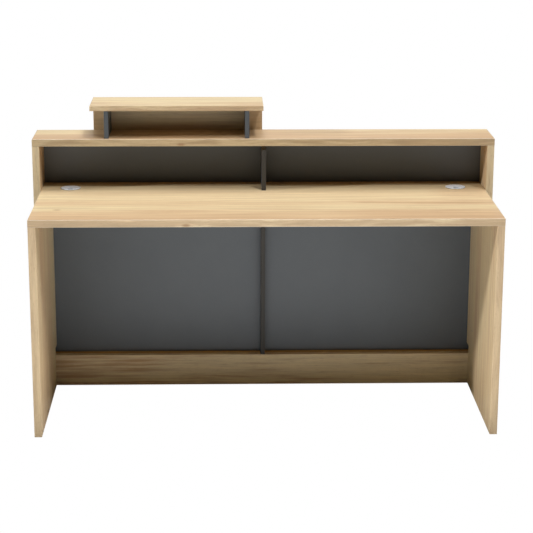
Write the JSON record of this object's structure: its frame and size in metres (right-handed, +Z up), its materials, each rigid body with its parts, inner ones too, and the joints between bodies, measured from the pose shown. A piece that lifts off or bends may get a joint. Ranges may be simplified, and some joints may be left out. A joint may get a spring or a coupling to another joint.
{
  "type": "reception desk",
  "caption": "Split-level oak and anthracite reception desk: panel-leg desktop inside a counter unit, with a short riser shelf, recessed back panels and round cable grommets.",
  "frame": {"origin": "on the floor, at the middle of the overall width and depth", "axes": "+X to the right as staff see it, +Y towards the visitor, +Z up"},
  "size_m": [1.6, 0.628, 1.044],
  "materials": {
    "oak_board": "satin natural-oak melamine, straight grain",
    "oak_band": "satin oak-print edge band",
    "grey_board": "matt anthracite melamine",
    "grey_band": "matt anthracite edge band",
    "satin_silver": "satin, circular brushed",
    "zinc": "bare die-cast zinc",
    "steel": "bright zinc-plated",
    "beech": "raw beech",
    "oak_cap": "satin oak-coloured cap",
    "glide_plastic": "black moulded"
  },
  "bodies": {
    "frame": {"desktop_edging": "oak_band", "desktop": "oak_board", "left_leg_edging": "oak_band", "left_leg": "oak_board", "right_leg_edging": "oak_band", "right_leg": "oak_board", "left_counter_side_edging": "oak_band", "left_counter_side": "oak_board", "right_counter_side_edging": "oak_band", "right_counter_side": "oak_board", "counter_top_edging": "oak_band", "counter_top": "oak_board", "plinth_edging": "oak_band", "plinth_board": "oak_board", "base_board_edging": "oak_band", "base_board": "oak_board", "left_back_panel": "grey_board", "right_back_panel": "grey_board", "divider_edging": "grey_band", "centre_divider": "grey_board", "riser_shelf_edging": "oak_band", "riser_shelf": "oak_board", "riser_front_panel_edging": "oak_band", "riser_front_panel": "oak_board", "left_support_edging": "grey_band", "left_riser_support": "grey_board", "right_support_edging": "grey_band", "right_riser_support": "grey_board", "left_grommet_sleeve": "satin_silver", "right_grommet_sleeve": "satin_silver", "desk_dowels": "beech", "cam_locks": "zinc", "cam_bolts": "steel", "cam_covers": "oak_cap", "leg_screws": "steel", "glide_sockets": "glide_plastic", "counter_dowels": "beech", "base_dowels": "beech", "riser_dowels": "beech", "riser_screws": "steel"},
    "left_lid": {"left_grommet_lid": "satin_silver"},
    "left_shutter": {"left_grommet_shutter": "satin_silver"},
    "right_lid": {"right_grommet_lid": "satin_silver"},
    "right_shutter": {"right_grommet_shutter": "satin_silver"},
    "left_front_glide": {"left_front_glide_foot": "glide_plastic", "left_front_glide_spindle": "steel"},
    "left_middle_glide": {"left_middle_glide_foot": "glide_plastic", "left_middle_glide_spindle": "steel"},
    "right_front_glide": {"right_front_glide_foot": "glide_plastic", "right_front_glide_spindle": "steel"},
    "right_middle_glide": {"right_middle_glide_foot": "glide_plastic", "right_middle_glide_spindle": "steel"},
    "left_back_glide": {"left_back_glide_foot": "glide_plastic", "left_back_glide_spindle": "steel"},
    "right_back_glide": {"right_back_glide_foot": "glide_plastic", "right_back_glide_spindle": "steel"}
  },
  "joints": [
    {"name": "left_lid_lift", "type": "slide", "parent": "frame", "child": "left_lid", "axis": [0, 0, 1], "range_m": [0, 0.03]},
    {"name": "left_shutter_turn", "type": "hinge", "parent": "left_lid", "child": "left_shutter", "pos_m": [-0.675, 0.164, 0.747], "axis": [0, 0, 1], "range_deg": [0, 180]},
    {"name": "right_lid_lift", "type": "slide", "parent": "frame", "child": "right_lid", "axis": [0, 0, 1], "range_m": [0, 0.03]},
    {"name": "right_shutter_turn", "type": "hinge", "parent": "right_lid", "child": "right_shutter", "pos_m": [0.675, 0.164, 0.747], "axis": [0, 0, 1], "range_deg": [0, 180]},
    {"name": "left_front_glide_level", "type": "slide", "parent": "frame", "child": "left_front_glide", "axis": [0, 0, -1], "range_m": [0, 0.012]},
    {"name": "left_middle_glide_level", "type": "slide", "parent": "frame", "child": "left_middle_glide", "axis": [0, 0, -1], "range_m": [0, 0.012]},
    {"name": "right_front_glide_level", "type": "slide", "parent": "frame", "child": "right_front_glide", "axis": [0, 0, -1], "range_m": [0, 0.012]},
    {"name": "right_middle_glide_level", "type": "slide", "parent": "frame", "child": "right_middle_glide", "axis": [0, 0, -1], "range_m": [0, 0.012]},
    {"name": "left_back_glide_level", "type": "slide", "parent": "frame", "child": "left_back_glide", "axis": [0, 0, -1], "range_m": [0, 0.012]},
    {"name": "right_back_glide_level", "type": "slide", "parent": "frame", "child": "right_back_glide", "axis": [0, 0, -1], "range_m": [0, 0.012]}
  ]
}
